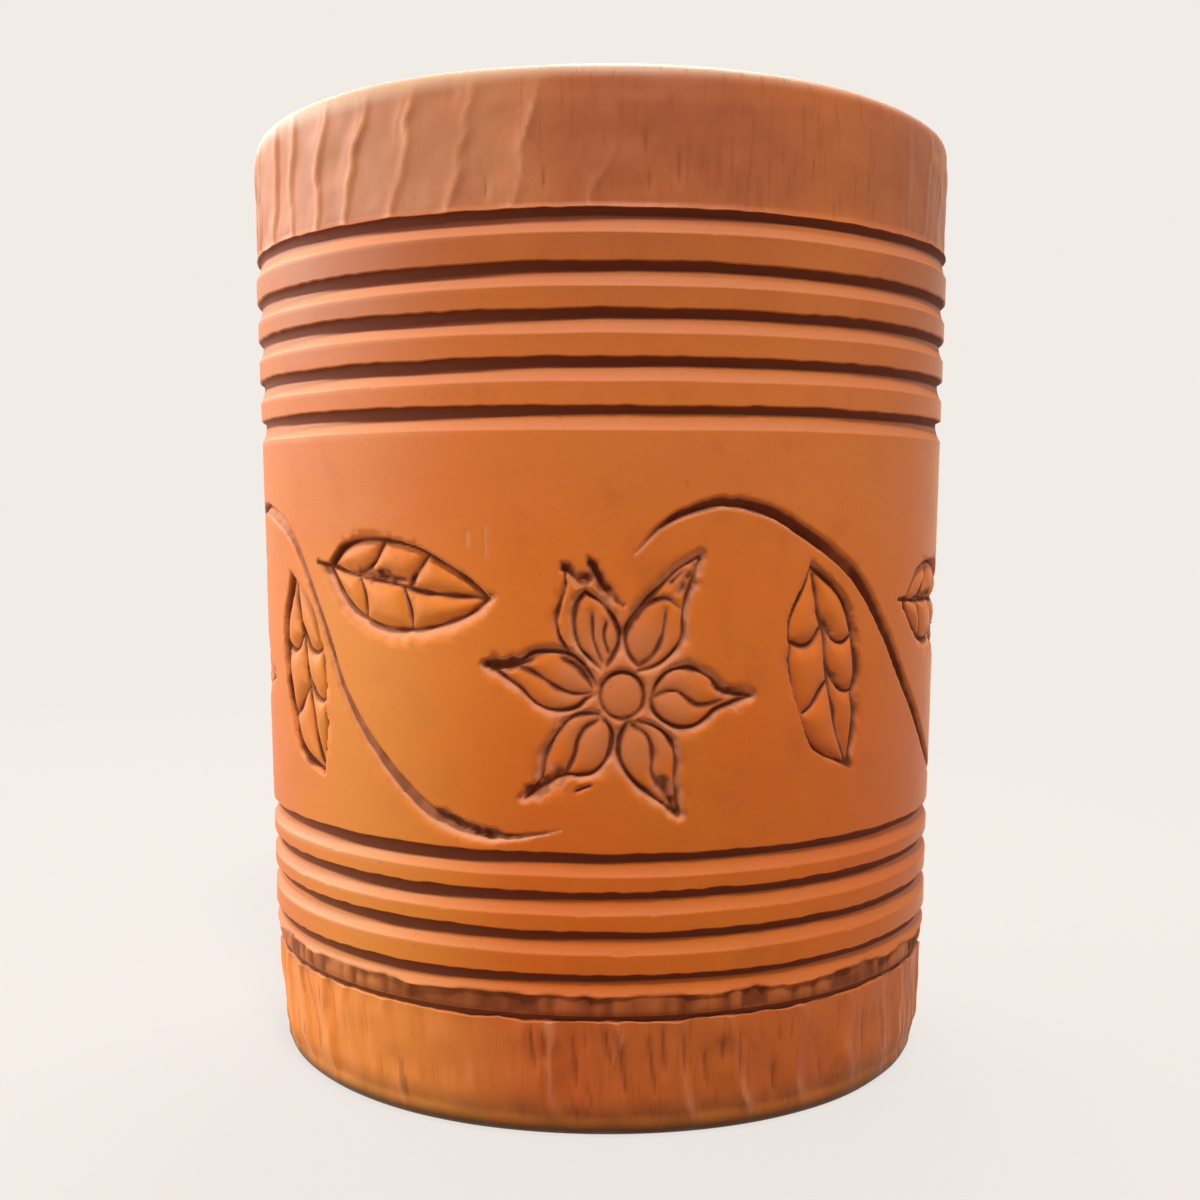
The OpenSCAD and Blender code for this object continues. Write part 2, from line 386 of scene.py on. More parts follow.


# %% [markdown]
# ### Leaves
# A leaf is a pointed oval with a midrib and two veins on each side. Between the cuts the clay
# stays high and soft, so the six fields look like small cushions. The lower edge is cut with the
# blade tilted outwards, and that slope, painted pale as a highlight, is the bright line under
# each leaf.

# %% Leaf shapes
# Plump is the cushions' rise in mm, the bevels are the outer flanks' widths in mm, and a hole is
# a line and the width that is dug out along it
LEAF_DEPTH = 0.9
LYING_LEAF = {
    "plump": 0.6,
    "bevels": (0.36, 1),
    "edges": [[
        (-86, 14), (-76, 24), (-60, 36), (-36, 42), (-4, 41), (29, 34), (54, 22),
        (82, 6), (102, -11),
    ], [
        (102, -11), (83, -25), (58, -34), (32, -40), (-2, -41), (-28, -35),
        (-50, -24), (-68, -8), (-86, 14),
    ]],
    "midrib": [(-104, 20), (-80, 16), (-47, 8), (0, 1), (40, -7), (100, -11)],
    "veins": [
        [(-46, 10), (-26, 18), (-10, 39)],
        [(20, 0), (29, 13), (42, 29)],
        [(-44, 5), (-37, -10), (-35, -31)],
        [(12, -4), (19, -22), (21, -39)],
    ],
    "holes": [([(-56, 12), (-36, 10), (-10, 7), (16, 4.5), (24, 2)], 1.5), ([(22, 5), (29, 14)], 0.9)],
}
HANGING_LEAF = {
    "plump": 0.7,
    "bevels": (0.3, 0.4),
    "edges": [[
        (-19, 94), (-26, 76), (-38, 56), (-44, 34), (-42, 19), (-43, 2), (-36, -24),
        (-28, -46), (-20, -66), (-4, -83), (36, -99),
    ], [
        (36, -99), (41, -72), (44, -49), (41, -30), (45, -10), (42, 14), (37, 32),
        (30, 50), (16, 69), (-19, 94),
    ]],
    "midrib": [
        (-15, 86), (-10, 64), (-6, 44), (0, 30), (3, 10), (5, -8), (9, -24),
        (14, -42), (19, -62), (34, -96),
    ],
    "veins": [
        [(-5, 34), (-14, 23), (-26, 19), (-40, 23)],
        [(6, -16), (-3, -24), (-14, -38), (-24, -44)],
        [(-7, 46), (3, 34), (14, 22), (26, 19), (37, 24)],
        [(3, 2), (11, -12), (22, -24), (32, -28), (41, -27)],
    ],
    "holes": [([(-9, 50), (3, 36), (10, 28)], 0.9), ([(4, 4), (9, -9), (18, -19)], 1)],
}


def flanks(edge, middle, outer, inner):
    """Widths of a line's two flanks, the outer one on the side away from the middle, and painted pale as a
    highlight.
    """
    half = len(edge) // 2
    run = np.subtract(edge[half + 1], edge[half - 1])
    inward = np.subtract(middle, edge[half])
    pale = min(0.75 * outer, 0.8)
    if run[0] * inward[1] > run[1] * inward[0]:
        return {"left": inner, "right": outer, "pale": (0, pale)}
    return {"left": outer, "right": inner, "pale": (pale, 0)}


def carve_leaf(motif, leaf):
    """Two edges, the midrib, the veins, what is dug out beside them, and the cushions between."""
    motif.begin()
    outline = []
    for edge, bevel in zip(leaf["edges"], leaf["bevels"]):
        widths = flanks(edge, (0, 0), bevel, FLANK)
        outline.append(motif.line(edge, depth=LEAF_DEPTH, ends=(0.8, 1, 0.9), **widths))
    motif.line(leaf["midrib"], left=0.4, right=0.3, depth=LEAF_DEPTH, ends=(0.5, 1, 0.9))
    for vein in leaf["veins"]:
        motif.line(vein, left=0.32, right=0.3, depth=LEAF_DEPTH, ends=(1, 1, 0.8))
    for hole, width in leaf["holes"]:
        motif.gouge(hole, width, LEAF_DEPTH, ends=(0.3, 1, 0.5))
    motif.cushion(np.vstack(outline), rise=leaf["plump"])


# %% [markdown]
# ### Flowers
# Six petals stand round a button. Each petal has two edges and a curved vein, and the carver
# dug out its tip with a few short pushes of the blade, which left a rough wedge there, painted
# dark as shade.
# The upper left petal was cut twice, so it has two tips and a second edge.

# %% Flower shape
PETALS = [{
    "one": [(27, -3), (30, 7), (38, 17), (51, 23), (67, 22), (81, 14), (95, 2), (122, -5)],
    "other": [(26, -4), (29, -15), (38, -24), (52, -30), (67, -29), (79, -22), (90, -14), (122, -5)],
    "veins": [[(27, -2), (39, 2), (51, 2), (62, -6), (73, -11), (93, -7)]],
    "tips": [([(82, 11), (96, 0), (124, -5)], 1, 0.6)],
}, {
    "one": [(-22, 9), (-30, 22), (-41, 34), (-52, 39), (-69, 40), (-82, 38), (-95, 31), (-125, 29)],
    "other": [(-24, 1), (-33, -3), (-41, -10), (-54, -13), (-69, -11), (-82, -4), (-95, 9), (-124, 28)],
    "veins": [
        [(-95, 27), (-82, 22), (-69, 14), (-56, 6), (-43, 2), (-28, 3)],
        [(-54, 34), (-41, 27), (-31, 15), (-27, 7)],
    ],
    "tips": [([(-127, 29), (-111, 27), (-92, 29), (-80, 34)], 1.1, 0.7)],
}, {
    "one": [(-19, 24), (-29, 34), (-38, 44), (-42, 56), (-43, 69), (-40, 83), (-32, 93)],
    "other": [(-14, 26), (-8, 36), (-3, 47), (-3, 59), (-9, 72), (-20, 85), (-32, 93)],
    "veins": [
        [(-26, 74), (-26, 62), (-25, 49), (-18, 31)],
        [(-14, 66), (-16, 53), (-12, 39)],
        [(-52, 117), (-50, 102), (-55, 84), (-59, 68), (-56, 54), (-48, 41)],
    ],
    "tips": [
        ([(-53, 120), (-44, 108), (-32, 97)], 1.1, 0.6),
        ([(-29, 124), (-23, 110), (-12, 91), (1, 81)], 1.1, 0.6),
        ([(-43, 107), (-23, 103)], 1.3, 0.35),
    ],
}, {
    "one": [(15, 26), (8, 35), (4, 46), (4, 57), (9, 68), (22, 84), (39, 100), (52, 112), (72, 123)],
    "other": [(15, 22), (28, 25), (40, 32), (50, 42), (56, 54), (56, 70), (59, 86), (65, 103), (72, 121)],
    "veins": [
        [(41, 76), (39, 63), (36, 50), (28, 35), (16, 27)],
        [(12, 69), (24, 82), (41, 86), (54, 77)],
    ],
    "tips": [([(72, 121), (62, 104), (52, 92)], 1.5, 0.6), ([(44, 99), (58, 112)], 0.7, 0.4)],
}, {
    "one": [(-20, -16), (-33, -16), (-46, -20), (-57, -31), (-66, -45), (-72, -60), (-75, -75), (-91, -94)],
    "other": [
        (-15, -22), (-10, -32), (-11, -46), (-17, -60), (-28, -70), (-42, -72), (-56, -73), (-91, -94),
    ],
    "veins": [[(-22, -22), (-34, -29), (-41, -40), (-44, -53), (-52, -70)]],
    "tips": [([(-91, -95), (-77, -83), (-60, -74), (-42, -74)], 1.5, 0.65)],
}, {
    "one": [(5, -23), (-1, -34), (-4, -47), (-1, -62), (9, -77), (22, -88), (51, -110)],
    "other": [(14, -22), (28, -28), (39, -36), (47, -49), (49, -62), (48, -78), (51, -110)],
    "veins": [[(9, -27), (20, -34), (26, -45), (27, -60), (27, -72), (40, -92)]],
    "tips": [([(29, -74), (38, -87), (50, -109)], 1.6, 0.6)],
}]
BUTTON_RADIUS = 20
PETAL_BEVEL = 0.62
SLIPPED_KNIFE = [(-44, -87), (-28, -81)]


def carve_flower(motif):
    """A button, six petals with their veins and dug tips, and the stroke of a slipped knife."""
    turn = np.linspace(0, math.tau, 13)
    button = [(BUTTON_RADIUS * math.cos(t), BUTTON_RADIUS * 1.05 * math.sin(t)) for t in turn]
    motif.begin()
    ring = motif.line(button, left=0.2, right=0.36, ends=(1, 1, 1))
    motif.cushion(ring, rise=0.3)
    worn_places.append(motif.centre)
    for petal in PETALS:
        motif.begin()
        middle = np.mean(petal["one"] + petal["other"], axis=0)
        one, other = (
            motif.line(
                edge, depth=0.68, ends=(0.5, 1, 1), ragged=0.45, **flanks(edge, middle, PETAL_BEVEL, FLANK),
            )
            for edge in (petal["one"], petal["other"])
        )
        for vein in petal["veins"]:
            motif.line(vein, depth=0.58, ragged=0.4)
        for points, width, depth in petal["tips"]:
            motif.gouge(points, 1.35 * width, 1.15 * depth)
        motif.cushion(np.vstack([one, other[::-1]]), rise=0.34)
    motif.line(SLIPPED_KNIFE, left=0.35, right=0.2, depth=0.4)


# %% [markdown]
# ### Stems
# The stem is one long push of a gouge round the cup, from one flower over the crest of the wave
# and down to the next flower. Its upper flank is steep and lies in shadow, which is painted dark
# too, and its lower flank slopes and is lit, painted pale as a highlight. Two stems on the real
# cup differ: one falls steeply, and one swings wide and was cut with the gouge leaning the other
# way, so its wide upper flank is a dark band of painted shade. They take turns.

# %% Stem shapes
STEM_DEPTH = 0.9
WIDE_STEM = [
    (5.1, 54.2), (8.8, 56.6), (13, 57.9), (18, 58.5), (24.6, 57.6), (32.1, 55.2), (40.2, 51.9),
    (47.6, 46.8), (54.2, 41.6), (61.5, 36.8), (68, 33.2), (75, 30.4), (80, 29.4), (85, 29.2),
]
STEEP_STEM = [
    (5.1, 54.2), (9.5, 57), (14.5, 58.2), (20, 58.4), (27, 57.6), (32.8, 56.1), (37.8, 52.8),
    (43.9, 46.8), (48.9, 40.5), (56.7, 34.6), (65.3, 30.2), (73, 28.6), (79, 28.6), (84.7, 29.2),
]


def carve_stem(points, start, upper, lower, run, wedge=None):
    """upper and lower are the flanks' widths, run the size along the stem, wedge a last dig."""
    smooth = curve_through(on_wall((angle + start, z) for angle, z in points))
    shares = np.interp(np.linspace(0, 1, len(smooth)), *zip(*run))
    # The upper flank is painted dark as shade, and the lower one pale as a highlight
    add_stroke(smooth, upper, lower, STEM_DEPTH, shares, 0.1, fill=(1, 0), pale=(0, 0.75))
    stems.append(strokes[-1])
    if wedge:
        end = curve_through(on_wall((angle + start, z) for angle, z in wedge))
        # The last dig is painted dark as shade in its hollow
        add_stroke(end, 0.72, 0.5, 1, taper(len(end), 0.1, 1, 0.3), 0.3, fill=(1, 0.9))


# %% The four repeats of the vine
STEEP_CUT = {
    "upper": 0.38, "lower": 1.05,
    "run": [
        (0, 0.25), (0.12, 0.8), (0.25, 1), (0.42, 0.65), (0.6, 0.8), (0.75, 1.25), (0.86, 1.1), (1, 0.1),
    ],
    "wedge": [(64.5, 30.8), (69, 29.3), (73.5, 28.5), (78.5, 28.4)],
}
WIDE_CUT = {
    "upper": 1.05, "lower": 0.42,
    "run": [(0, 0.25), (0.12, 0.8), (0.3, 1), (0.8, 1), (0.93, 0.7), (1, 0.1)],
}
# A stem, its cut and where it starts, then the angle, height, turn and size of the motifs along
# it: flower, hanging leaf and lying leaf
VINE = [
    (WIDE_STEM, WIDE_CUT, 0, (3.2, 41.5, 0.7), (35.2, 43.6, 0.7), (68.9, 48.7, 8)),
    (STEEP_STEM, STEEP_CUT, -90, (-86.7, 41.6, -1.5), (-53.7, 42.1, 1.5), (-31.6, 51.1, 0.7)),
    (STEEP_STEM, STEEP_CUT, 90, (93, 41.7, 2, 1.01), (126.6, 42, -1), (148.1, 51.2, -1, 0.99)),
    (WIDE_STEM, WIDE_CUT, 180, (183.4, 41.3, -2, 0.99), (215, 43.7, 2, 0.98), (249.2, 48.5, 7)),
]
# Two scratches: angle, upper and lower height
SCRATCHES = ((-18.7, 56.2, 54.3), (-16.1, 56.6, 53.9))

for stem, cut, start, flower, hanging, lying in VINE:
    carve_flower(Motif(*flower))
    carve_leaf(Motif(*hanging), HANGING_LEAF)
    carve_leaf(Motif(*lying), LYING_LEAF)
    carve_stem(stem, start, **cut)
for a, top, low in SCRATCHES:
    scratch = np.array(on_wall([(a, top), (a, (top + low) / 2), (a, low)]))
    add_stroke(scratch, 0.13, 0.13, 0.08, np.ones(3), 0.6, pale=(0.4, 0.4))
print("strokes:", len(strokes), "cushions:", len(cushions))

# %% [markdown]
# ## Reading the strokes
# For a point on the clay the question is how far it lies from a stroke and on which side. The
# cup is unrolled for that: distance round the cup is one axis and height the other.

# %% Distance to a stroke
ROUND = math.tau * MID_RADIUS


def unrolled(angle, centre):
    """Distance round the cup from a centre line, the short way."""
    return np.mod(angle * MID_RADIUS - centre + ROUND / 2, ROUND) - ROUND / 2


def near_stroke(stroke, angle, z, reach):
    """Points near a stroke: their indices, distance, side (1 left, -1 right) and share of size."""
    line = stroke["line"]
    centre = line[:, 0].mean()
    x = unrolled(angle, centre)
    px, pz = line[:, 0] - centre, line[:, 1]
    box = (x > px.min() - reach) & (x < px.max() + reach)
    box &= (z > pz.min() - reach) & (z < pz.max() + reach)
    index = np.flatnonzero(box)
    x, y = x[index], z[index]
    best = np.full(len(index), 1e9)
    side = np.ones(len(index))
    share = np.zeros(len(index))
    for k in range(len(line) - 1):
        dx, dz = px[k + 1] - px[k], pz[k + 1] - pz[k]
        length = dx * dx + dz * dz
        t = np.clip(((x - px[k]) * dx + (y - pz[k]) * dz) / length, 0, 1)
        ox, oz = x - px[k] - t * dx, y - pz[k] - t * dz
        distance = np.hypot(ox, oz)
        closer = distance < best
        best[closer] = distance[closer]
        side[closer] = np.sign(dx * oz - dz * ox)[closer]
        size = stroke["shares"][k] * (1 - t) + stroke["shares"][k + 1] * t
        share[closer] = size[closer]
    keep = best < reach
    return index[keep], best[keep], side[keep], share[keep]


def inside_outline(outline, x, z):
    """Which points lie inside a closed outline."""
    within = np.zeros(len(x), bool)
    for (ax, az), (bx, bz) in zip(outline, np.roll(outline, -1, axis=0)):
        crosses = (az > z) != (bz > z)
        with np.errstate(divide="ignore", invalid="ignore"):
            at = ax + (z - az) / (bz - az) * (bx - ax)
        within ^= crosses & (x < at)
    return within


# %% [markdown]
# ## Cutting the clay
# Each vertex of the outside is moved in or out by what the tools did there. Where strokes cross,
# the deeper one wins. Between the cuts of a leaf or a petal the clay sinks softly towards each
# line, which makes the cushions.

# %% Carving depth
# How far a cushion's slope reaches from a line, half the width of the dark line along the bottom
# of a cut, and the size of a crumb, all in mm
CUSHION_REACH = 1.5
DARK_LINE = 0.25
CRUMB_SIZE = 0.42


def wide_reach(stroke):
    """The whole cut and a little round it."""
    return max(stroke["left"], stroke["right"]) + 0.3


def cut_strokes(angle, z):
    """Depth of the strokes in mm, and shares of bare clay, of dark dust and painted shade, and of pale wear
    and painted highlight.
    """
    depth, bare, dust_and_shade, wear_and_highlight = (np.zeros(len(angle)) for _ in range(4))
    for stroke in strokes:
        index, distance, side, share = near_stroke(stroke, angle, z, wide_reach(stroke))
        near, high = angle[index], z[index]
        width = np.where(side > 0, stroke["left"], stroke["right"]) * np.maximum(share, 0.15)
        rag = 1 + stroke["ragged"] * ripple(near, high, 0.8, 0.8, 31)
        flank = np.clip(1 - distance / (width * rag), 0, 1)
        depth[index] = np.maximum(depth[index], stroke["depth"] * share * flank**0.8)
        bare[index] = np.maximum(bare[index], ease(flank * 4))
        bottom = bell(distance, DARK_LINE * (1 + 0.6 * ripple(near, high, 1.4, 1.4, 40)))
        # Painted shade on a cut's flanks, as much as the stroke's fill says
        shaded_flank = np.where(side > 0, *stroke["fill"]) * ease(flank * 2.4)
        patchy = 0.85 + 0.3 * ripple(near, high, 1.6, 1.6, 32)
        if min(stroke["fill"]) > 0:
            torn = ripple(near, high, 0.55, 0.55, 39)
            depth[index] += 0.14 * torn * ease(flank * 3)
            patchy = patchy * (0.8 + 0.5 * torn)
        darkened = np.maximum(bottom * (stroke["depth"] > 0.1), shaded_flank) * patchy * np.minimum(share * 1.5, 1)
        dust_and_shade[index] = np.maximum(dust_and_shade[index], darkened)
        # Painted highlight on a lit flank, and pale wear in the scratches
        clean = np.where(side > 0, *stroke["pale"]) * ease(flank * 3)
        wear_and_highlight[index] = np.maximum(wear_and_highlight[index], clean)
    return depth, bare, dust_and_shade, wear_and_highlight


def sink_cushions(angle, z):
    """How far in mm the fields of leaves and petals sink towards their lines."""
    soft = np.zeros(len(angle))
    for cushion in cushions:
        outline = cushion["outline"]
        centre, middle = outline[:, 0].mean(), outline[:, 1].mean()
        x = unrolled(angle, centre)
        span = np.ptp(outline, axis=0) / 2 + 0.5
        index = np.flatnonzero((abs(x) < span[0] * 1.6) & (abs(z - middle) < span[1] * 1.6))
        index = index[inside_outline(outline - [centre, 0], x[index], z[index])]
        nearest = np.full(len(index), CUSHION_REACH)
        for stroke in strokes[cushion["first"]:cushion["last"]]:
            hit, distance, _, _ = near_stroke(stroke, angle[index], z[index], CUSHION_REACH)
            nearest[hit] = np.minimum(nearest[hit], distance)
        sink = cushion["rise"] * (1 - nearest / CUSHION_REACH) ** 1.8 + 0.06
        soft[index] = np.maximum(soft[index], sink)
    return soft


def crumble_stems(depth, angle, z):
    """Leaves crumbs along the lower edge of the stems, and an uneven bottom."""
    for stem in stems:
        index, distance, side, share = near_stroke(stem, angle, z, stem["right"] + 0.5)
        near, high = angle[index], z[index]
        seat = bell(distance - stem["right"] * share, 0.28) * (side < 0)
        crumb = ease((ripple(near, high, CRUMB_SIZE, CRUMB_SIZE, 35) - 0.3) / 0.4)
        patch = ease(ripple(near, high, 7, 7, 36) * 2 + 0.3)
        depth[index] -= 0.2 * seat * crumb * patch
        bottom = 0.12 * ripple(near, high, 0.9, 0.9, 37) * ease(1.3 - distance / stem["right"])
        depth[index] += bottom * (depth[index] > 0.25)


def worn_round_flowers(angle, z):
    """Share of worn skin round the button of each flower, where fingers rest."""
    worn = np.zeros(len(angle))
    ragged = 1.2 * ripple(angle, z, 5, 5, 38)
    for x, height in worn_places:
        away = np.hypot(unrolled(angle, x), z - height)
        worn = np.maximum(worn, 1 - ease((away + ragged - 4.5) / 4.5))
    return worn


def carving(angle, z):
    """Depth of all the carving in mm, and its shares of bare, dusty and rubbed clay."""
    depth, bare, dust_and_shade, wear_and_highlight = cut_strokes(angle, z)
    crumble_stems(depth, angle, z)
    bare = np.maximum(bare, 0.6 * worn_round_flowers(angle, z))
    return np.maximum(depth, sink_cushions(angle, z)), bare, dust_and_shade, wear_and_highlight


# %% Finer faces near the strokes
def close_reach(stroke):
    """The bottom of a cut, or all of it where painted shade lies on a flank."""
    return max(stroke["left"], stroke["right"]) + 0.05 if max(stroke["fill"]) > 0 else 0.42


def refine(bm, reaches):
    """Halves the faces near the strokes, once for each reach."""
    for reach in reaches:
        faces = list(bm.faces)
        centres = np.array([f.calc_center_median() for f in faces]) / MM
        angle = np.arctan2(centres[:, 0], -centres[:, 1])
        z = centres[:, 2]
        outer = np.hypot(centres[:, 0], centres[:, 1]) > outside(z) - 0.5
        outer &= (z > BAND_LOW) & (z < BAND_HIGH)
        chosen = np.zeros(len(faces), bool)
        for stroke in strokes:
            index, *_ = near_stroke(stroke, angle, z, reach(stroke))
            chosen[index] = True
        chosen &= outer
        edges = {edge for face, wanted in zip(faces, chosen) if wanted for edge in face.edges}
        bmesh.ops.subdivide_edges(bm, edges=list(edges), cuts=1, use_grid_fill=True)
        print("faces after finer ones near the strokes:", len(bm.faces))


# %% [markdown]
# ## Pared bands
# The lip and the foot were pared upright with a knife, side by side all round the cup. Each pass
# leaves a shallow trough, and the crests between them lean and waver like bark. On the left of
# the flower the crests are sharp, and on the right they are soft with fine drag lines.

# %% Troughs and crests
# Angles of the crests that the photograph shows on the lip's band and on the foot's band
SHARP_CRESTS = (-58.6, -51, -42.8, -34.6, -26.8, -18, -9)
SOFT_CRESTS = (2, 12.2, 20.4, 28.2, 35.6, 43)
LOW_CRESTS = (-32.5, -19.4, -7, 2.3, 13.3, 22.3, 32.5, 43, 53)
# Degrees from crest to crest round the rest of the cup
CREST_SPACING = 8.4


def crest_angles(known, seed):
    """The crests that are known, and evenly wavering ones round the rest of the cup."""
    rng = np.random.default_rng(seed)
    gap = 360 - (known[-1] - known[0])
    count = round(gap / CREST_SPACING)
    rest = known[-1] + gap * (np.arange(1, count) + rng.uniform(-0.22, 0.22, count - 1)) / count
    return np.radians(np.concatenate([known, rest]))


def troughs(angle, crests):
    """Place across the trough from 0 to 1, distance to the nearest crest in mm, and its number."""
    at = np.mod(angle - crests[0], math.tau) + crests[0]
    right = np.searchsorted(crests, at, side="right")
    start = crests[right - 1]
    end = np.append(crests, crests[0] + math.tau)[right]
    distance = np.minimum(at - start, end - at) * MID_RADIUS
    return (at - start) / (end - start), distance, right


RIM_CRESTS = crest_angles(SHARP_CRESTS + SOFT_CRESTS, 5)
FOOT_CRESTS = crest_angles(LOW_CRESTS, 8)


def pared_rim(angle, z):
    """Inward cut of the lip's band in mm, the dust in its drag lines, and its crests painted pale as wear
    and as highlight.
    """
    up = np.clip((z - RIM_BAND_LOW) / (HEIGHT - RIM_BAND_LOW), 0, 1)
    sharp = ease((np.cos(angle + math.radians(62)) - 0.3) / 0.45)
    lean = (1.2 + 3 * sharp) * (1 - up) ** 1.2
    sway = 1.5 * ripple(angle, z, 8, 4.5, 11) + 0.5 * ripple(angle, z, 3, 1.6, 17)
    bent = angle + np.radians(lean + sway)
    place, distance, number = troughs(bent, RIM_CRESTS)
    deep = np.random.default_rng(12).uniform(0.7, 1.2, len(RIM_CRESTS) + 2)[number]
    flare = 0.12 * (1 - ease(up / 0.3))
    ramp = 1 - ease((place - 0.52 + flare) / 0.46)
    deep = deep * (0.75 + 0.5 * ripple(angle, z, 9, 5, 10))
    cut = (0.08 + 0.2 * sharp) * ease(place / 0.15) * ramp * deep * (0.45 + 0.55 * ease(up / 0.14))
    alive = np.maximum(0.6 + 0.65 * ripple(angle, z, 6, 3.2, 13), 0.6)
    line = bell(distance, 0.22) * alive
    _, fork, _ = troughs(bent + math.radians(1.5), RIM_CRESTS)
    second = bell(fork, 0.24) * ease((up - 0.45) / 0.3) * alive
    crest = (0.03 + 0.17 * sharp) * line + 0.1 * sharp * second
    # Pale wear and painted highlight on the crests and on the slopes before them, on the lit left side
    wear_and_highlight = sharp * np.maximum(line + 0.6 * second, 0.6 * ease((place - 0.62) / 0.38) * alive)
    fine = ripple(bent, z, 0.55, 7, 14)
    drag = (0.015 + 0.03 * (1 - sharp)) * fine + 0.05 * ripple(bent, z, 2.2, 8, 15)
    dents = 0.08 * ripple(angle, z, 3, 2.2, 16) + 0.03 * ripple(angle, z, 1.1, 0.9, 18)
    dust_and_shade = ease((fine - 0.45) / 0.3) * 0.35 * (1 - sharp) * ease(ripple(angle, z, 5, 6, 19) + 0.4)
    return 0.26 + cut - crest + drag + dents, dust_and_shade, wear_and_highlight


def pared_foot(angle, z):
    """Inward cut of the foot's band in mm, the dust in its drag lines, and its crests at the front painted
    pale as wear and as highlight.
    """
    up = np.clip(z / FOOT_BAND_HIGH, 0, 1)
    sway = 2 * ripple(angle, z, 12, 5, 21) + 0.5 * ripple(angle, z, 3, 2, 27)
    bent = angle + np.radians(2.2 * (up - 0.5) + sway)
    place, distance, number = troughs(bent, FOOT_CRESTS)
    deep = np.random.default_rng(22).uniform(0.4, 1.3, len(FOOT_CRESTS) + 2)[number]
    cut = 0.3 * ease(place / 0.16) * (1 - ease((place - 0.4) / 0.6)) * deep
    line = bell(distance, 0.36) * (0.4 + 0.8 * ripple(angle, z, 5, 3, 23))
    # Pale wear and painted highlight on the crests at the front
    wear_and_highlight = 0.7 * line * ease((np.cos(angle) - 0.5) / 0.4)
    fine = ripple(bent, z, 0.6, 4.5, 24)
    drag = 0.06 * fine + 0.13 * ripple(bent, z, 2, 4.5, 25)
    dust_and_shade = ease((fine - 0.5) / 0.3) * 0.4 * ease(ripple(angle, z, 7, 8, 28) + 0.4)
    narrowing = 0.34 + 0.32 * (1 - up)
    return narrowing + cut - 0.16 * line + drag + 0.09 * ripple(angle, z, 3.5, 2.5, 26), dust_and_shade, wear_and_highlight


print("troughs round the lip:", len(RIM_CRESTS), "and round the foot:", len(FOOT_CRESTS))

# %% [markdown]
# ### Knife nicks
# Short upright nicks lie in the foot band where the point of the knife caught, and a few fine
# cracks rise from the top ring. Each is a stroke like the carver's, only shorter.

# %% Nicks and cracks
# Each begins at an angle and a height and ends at another
FOOT_NICKS = [
    (0.9, 10.6, 1.8, 6.8), (2.5, 10.4, 4.6, 3.1), (9.4, 10.9, 10, 5.6), (12.6, 10.4, 13.2, 5.1),
    (16.1, 8.4, 16.9, 3.8), (21.7, 10, 22.1, 4.4), (27.9, 6.4, 28.5, 2.3), (-10.3, 10.8, -9.5, 6.2),
    (-8.3, 10.2, -8, 7), (7.3, 9.8, 8.7, 3.6), (18.9, 9.4, 19.2, 6.4), (-3.9, 9.8, -3.3, 4.5),
]
RIM_CRACKS = [
    (-16.3, 88.8, -15.8, 85.3), (-8.1, 89.5, -7.4, 85.2), (6, 91.4, 6.8, 85.2), (10.6, 90, 10.8, 86),
]
HIDDEN_NICKS = 70
nicks = []


def add_nick(a, top, b, low, width, depth, dark):
    """A short stroke down the clay; dark is how full of dust it is."""
    smooth = curve_through(on_wall([(a, top), (b, low)]), step=1)
    nicks.append({
        "line": smooth, "left": width / 2, "right": width / 2, "depth": depth,
        "shares": taper(len(smooth), 0.5, 1, 0.2), "dark": dark,
    })


for nick in FOOT_NICKS:
    add_nick(*nick, width=1.1, depth=0.32, dark=0.46)
for crack in RIM_CRACKS:
    add_nick(*crack, width=0.5, depth=0.22, dark=0.8)
nick_rng = np.random.default_rng(41)
for _ in range(HIDDEN_NICKS):
    a, top = nick_rng.uniform(35, 325), nick_rng.uniform(7.5, 10.9)
    b, low = a + nick_rng.uniform(0.2, 1.4), top - nick_rng.uniform(2, 6)
    add_nick(a, top, b, low, width=0.75, depth=nick_rng.uniform(0.08, 0.22), dark=0.45)
print("nicks:", len(nicks))


def nicked(angle, z):
    """Depth of the nicks and cracks in mm, and the dust in them."""
    depth, dust_and_shade = np.zeros(len(angle)), np.zeros(len(angle))
    for nick in nicks:
        index, distance, _, share = near_stroke(nick, angle, z, nick["left"] + 0.1)
        flank = ease(1 - distance / (nick["left"] * np.maximum(share, 0.3)))
        depth[index] = np.maximum(depth[index], nick["depth"] * share * flank)
        dust_and_shade[index] = np.maximum(dust_and_shade[index], nick["dark"] * nick["depth"] / 0.3 * share * flank)
    return depth, np.minimum(dust_and_shade, 1)


# %% [markdown]
# ## Moving the clay
# All marks come together here. The rings waver up and down and vary in depth, the bands are
# pared, the vine is cut, and the whole body is a little out of round. The inside keeps the soft
# ridges that fingers leave. What was done to each vertex is kept in three attributes for the
# clay's colours: bare where the skin is cut, a dark share for dust and for painted shade in
# grooves and cuts, and a pale share for worn edges and for painted highlights on lit slopes and
# crests.

